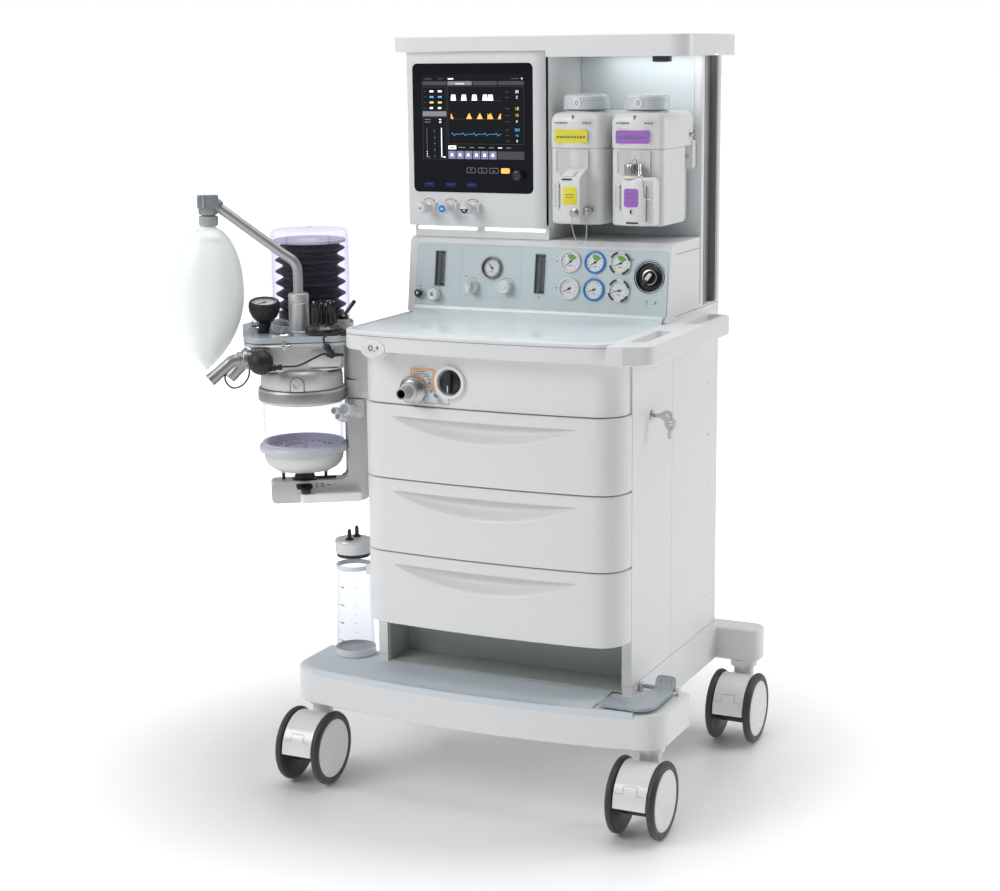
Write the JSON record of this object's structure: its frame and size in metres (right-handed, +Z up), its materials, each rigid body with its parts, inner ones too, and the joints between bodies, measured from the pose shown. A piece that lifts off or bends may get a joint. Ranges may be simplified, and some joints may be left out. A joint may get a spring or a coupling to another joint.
{
  "type": "anesthesia machine",
  "caption": "Wheeled anesthesia cart with a screen, gauge panel, two vaporisers, drawers, worktop and a swing-out breathing system with bellows, absorber and bag.",
  "frame": {"origin": "on the floor, under the middle of the box that holds the whole machine at rest", "axes": "+X to the operator's right, -Y towards the operator (front), +Z up"},
  "size_m": [0.9267, 0.6908, 1.365],
  "materials": {
    "white_shell": "satin off-white moulded shell",
    "painted_base": "satin off-white painted casting",
    "grey_mat": "pale blue-grey ribbed tread mat",
    "inner_steel": "dark green-grey painted sheet steel",
    "panel_grey": "pale blue-grey satin panel",
    "gauge": "clear-fronted gauges with coloured rings",
    "steel_outlet": "turned steel",
    "display_glass": "black glass with a lit screen",
    "rail_metal": "grey anodised aluminium",
    "vaporiser_white": "satin white painted housing",
    "dial_grey": "pale grey dial",
    "jar_clear": "clear plastic jar with a white lid",
    "module_metal": "plain module housing",
    "caster_white": "glossy pale fork cover",
    "caster_tyre": "dark grey tread with a white disc",
    "pedal_grey": "blue-grey painted pedal",
    "knob_white": "satin white knob",
    "knob_black": "satin black knob",
    "key_steel": "nickel plated",
    "cast_silver": "bead-blasted silver casting",
    "bracket_silver": "satin silver bracket",
    "clear_plastic": "clear plastic with a faint violet tint",
    "bellows_black": "black pleated rubber",
    "tube_steel": "satin tube and grey elbow",
    "bag_silicone": "translucent white silicone"
  },
  "bodies": {
    "chassis": {"base_frame": "painted_base", "base_mat": "grey_mat", "carcass": "inner_steel", "side_panel_left": "white_shell", "side_panel_right": "white_shell", "rear_cover": "white_shell", "front_panel": "white_shell", "worktop": "white_shell", "gauge_panel": "panel_grey", "pressure_gauges": "gauge", "fresh_gas_outlet": "steel_outlet", "monitor_housing": "white_shell", "monitor_display": "display_glass", "upper_body": "white_shell", "accessory_rail": "rail_metal", "top_shelf": "white_shell", "vaporiser_left": "vaporiser_white", "vaporiser_right": "vaporiser_white", "suction_jar": "jar_clear", "ventilator_module": "module_metal", "pivot_cover": "white_shell"},
    "breathing_arm": {"swing_bracket": "bracket_silver", "manifold_block": "cast_silver", "bellows_housing": "clear_plastic", "bellows": "bellows_black", "manometer": "knob_black", "valve_domes": "clear_plastic"},
    "canister": {"absorber_canister": "clear_plastic", "canister_base": "cast_silver"},
    "bag_arm": {"bag_arm": "tube_steel", "breathing_bag": "bag_silicone"},
    "drawer_top": {"drawer_top": "white_shell"},
    "drawer_middle": {"drawer_middle": "white_shell"},
    "drawer_bottom": {"drawer_bottom": "white_shell"},
    "caster_fork_front_left": {"caster_fork_front_left": "caster_white"},
    "caster_wheels_front_left": {"caster_wheels_front_left": "caster_tyre"},
    "caster_fork_front_right": {"caster_fork_front_right": "caster_white"},
    "caster_wheels_front_right": {"caster_wheels_front_right": "caster_tyre"},
    "caster_fork_rear_left": {"caster_fork_rear_left": "caster_white"},
    "caster_wheels_rear_left": {"caster_wheels_rear_left": "caster_tyre"},
    "caster_fork_rear_right": {"caster_fork_rear_right": "caster_white"},
    "caster_wheels_rear_right": {"caster_wheels_rear_right": "caster_tyre"},
    "brake_pedal": {"brake_pedal": "pedal_grey"},
    "flow_knob_1": {"flow_knob_1": "knob_white"},
    "flow_knob_2": {"flow_knob_2": "knob_white"},
    "flow_knob_3": {"flow_knob_3": "knob_black"},
    "encoder_knob": {"encoder_knob": "knob_black"},
    "vaporiser_dial_left": {"vaporiser_dial_left": "dial_grey"},
    "vaporiser_dial_right": {"vaporiser_dial_right": "dial_grey"},
    "aux_flow_knob": {"aux_flow_knob": "knob_white"},
    "selector_knob": {"selector_knob": "knob_white"},
    "regulator_knob": {"regulator_knob": "knob_white"},
    "main_switch_knob": {"main_switch_knob": "knob_black"},
    "outlet_switch_knob": {"outlet_switch_knob": "knob_black"},
    "oxygen_flush_button": {"oxygen_flush_button": "knob_white"},
    "key": {"key": "key_steel"},
    "canister_lever": {"canister_lever": "knob_white"},
    "bellows_disc": {"bellows_disc": "knob_white"},
    "apl_knob": {"apl_knob": "knob_black"},
    "bag_vent_lever": {"bag_vent_lever": "knob_black"}
  },
  "joints": [
    {"name": "drawer_top_slide", "type": "slide", "parent": "chassis", "child": "drawer_top", "axis": [0, -1, 0], "range_m": [0, 0.36]},
    {"name": "drawer_middle_slide", "type": "slide", "parent": "chassis", "child": "drawer_middle", "axis": [0, -1, 0], "range_m": [0, 0.36]},
    {"name": "drawer_bottom_slide", "type": "slide", "parent": "chassis", "child": "drawer_bottom", "axis": [0, -1, 0], "range_m": [0, 0.36]},
    {"name": "swivel_front_left", "type": "hinge", "parent": "chassis", "child": "caster_fork_front_left", "pos_m": [-0.238, -0.21, 0.15], "axis": [0, 0, 1], "continuous": true},
    {"name": "roll_front_left", "type": "hinge", "parent": "caster_fork_front_left", "child": "caster_wheels_front_left", "pos_m": [-0.238, -0.25, 0.06875], "axis": [1, 0, 0], "continuous": true},
    {"name": "swivel_front_right", "type": "hinge", "parent": "chassis", "child": "caster_fork_front_right", "pos_m": [0.418, -0.21, 0.15], "axis": [0, 0, 1], "continuous": true},
    {"name": "roll_front_right", "type": "hinge", "parent": "caster_fork_front_right", "child": "caster_wheels_front_right", "pos_m": [0.418, -0.25, 0.06875], "axis": [1, 0, 0], "continuous": true},
    {"name": "swivel_rear_left", "type": "hinge", "parent": "chassis", "child": "caster_fork_rear_left", "pos_m": [-0.238, 0.316, 0.15], "axis": [0, 0, 1], "continuous": true},
    {"name": "roll_rear_left", "type": "hinge", "parent": "caster_fork_rear_left", "child": "caster_wheels_rear_left", "pos_m": [-0.238, 0.276, 0.06875], "axis": [1, 0, 0], "continuous": true},
    {"name": "swivel_rear_right", "type": "hinge", "parent": "chassis", "child": "caster_fork_rear_right", "pos_m": [0.418, 0.316, 0.15], "axis": [0, 0, 1], "continuous": true},
    {"name": "roll_rear_right", "type": "hinge", "parent": "caster_fork_rear_right", "child": "caster_wheels_rear_right", "pos_m": [0.418, 0.276, 0.06875], "axis": [1, 0, 0], "continuous": true},
    {"name": "brake_pedal_pivot", "type": "hinge", "parent": "chassis", "child": "brake_pedal", "pos_m": [0.4, -0.137, 0.231], "axis": [1, 0, 0], "range_deg": [0, 2]},
    {"name": "flow_knob_1_turn", "type": "hinge", "parent": "chassis", "child": "flow_knob_1", "pos_m": [-0.105, 0.003, 1.056], "axis": [0, -1, 0], "range_deg": [0, 720]},
    {"name": "flow_knob_2_turn", "type": "hinge", "parent": "chassis", "child": "flow_knob_2", "pos_m": [-0.06, 0.003, 1.056], "axis": [0, -1, 0], "range_deg": [0, 720]},
    {"name": "flow_knob_3_turn", "type": "hinge", "parent": "chassis", "child": "flow_knob_3", "pos_m": [-0.015, 0.003, 1.056], "axis": [0, -1, 0], "range_deg": [0, 720]},
    {"name": "encoder_turn", "type": "hinge", "parent": "chassis", "child": "encoder_knob", "pos_m": [0.08, 0.003, 1.117], "axis": [0, -1, 0], "continuous": true},
    {"name": "vaporiser_dial_left_turn", "type": "hinge", "parent": "chassis", "child": "vaporiser_dial_left", "pos_m": [0.1915, 0.051, 1.24], "axis": [0, 0, 1], "range_deg": [0, 270]},
    {"name": "vaporiser_dial_right_turn", "type": "hinge", "parent": "chassis", "child": "vaporiser_dial_right", "pos_m": [0.3085, 0.051, 1.24], "axis": [0, 0, 1], "range_deg": [0, 270]},
    {"name": "aux_flow_turn", "type": "hinge", "parent": "chassis", "child": "aux_flow_knob", "pos_m": [-0.092, -0.00173, 0.89383], "axis": [0, -0.9903, 0.1392], "range_deg": [0, 720]},
    {"name": "selector_turn", "type": "hinge", "parent": "chassis", "child": "selector_knob", "pos_m": [-0.016, 0.00063, 0.91066], "axis": [0, -0.9903, 0.1392], "range_deg": [-45, 45]},
    {"name": "regulator_turn", "type": "hinge", "parent": "chassis", "child": "regulator_knob", "pos_m": [0.053, 0.00091, 0.91265], "axis": [0, -0.9903, 0.1392], "range_deg": [0, 720]},
    {"name": "main_switch_turn", "type": "hinge", "parent": "chassis", "child": "main_switch_knob", "pos_m": [0.331, 0.00488, 0.94087], "axis": [0, -0.9903, 0.1392], "range_deg": [0, 90]},
    {"name": "outlet_switch_turn", "type": "hinge", "parent": "chassis", "child": "outlet_switch_knob", "pos_m": [0.059, -0.247, 0.775], "axis": [0, -1, 0], "range_deg": [0, 90]},
    {"name": "oxygen_flush_press", "type": "slide", "parent": "chassis", "child": "oxygen_flush_button", "axis": [0, 1, 0], "range_m": [0, 0.005], "stiffness_N_per_m": 800},
    {"name": "key_turn", "type": "hinge", "parent": "chassis", "child": "key", "pos_m": [0.37, -0.083, 0.71], "axis": [1, 0, 0], "range_deg": [0, 90]},
    {"name": "breathing_arm_swing", "type": "hinge", "parent": "chassis", "child": "breathing_arm", "pos_m": [-0.186, -0.142, 0.7], "axis": [0, 0, 1], "range_deg": [-40, 8]},
    {"name": "canister_lever_turn", "type": "hinge", "parent": "breathing_arm", "child": "canister_lever", "pos_m": [-0.24674, -0.23391, 0.54], "axis": [0, 0, -1], "range_deg": [0, 90]},
    {"name": "canister_drop", "type": "slide", "parent": "breathing_arm", "child": "canister", "axis": [0, 0, -1], "range_m": [0, 0.008]},
    {"name": "bellows_stroke", "type": "slide", "parent": "breathing_arm", "child": "bellows_disc", "axis": [0, 0, -1], "range_m": [0, 0.085], "deforming": ["bellows"]},
    {"name": "apl_turn", "type": "hinge", "parent": "breathing_arm", "child": "apl_knob", "pos_m": [-0.21562, -0.20655, 0.85], "axis": [0, 0, 1], "range_deg": [0, 270]},
    {"name": "bag_vent_turn", "type": "hinge", "parent": "breathing_arm", "child": "bag_vent_lever", "pos_m": [-0.205, -0.15314, 0.862], "axis": [0, 0, 1], "range_deg": [0, 90]},
    {"name": "bag_arm_turn", "type": "hinge", "parent": "breathing_arm", "child": "bag_arm", "pos_m": [-0.27104, -0.19961, 0.88], "axis": [0, 0, 1], "range_deg": [-14, 2]}
  ],
  "couplings": [
    {"joint": "canister_lever_turn", "follows": "canister_drop", "rad_per_m": 196.2}
  ]
}
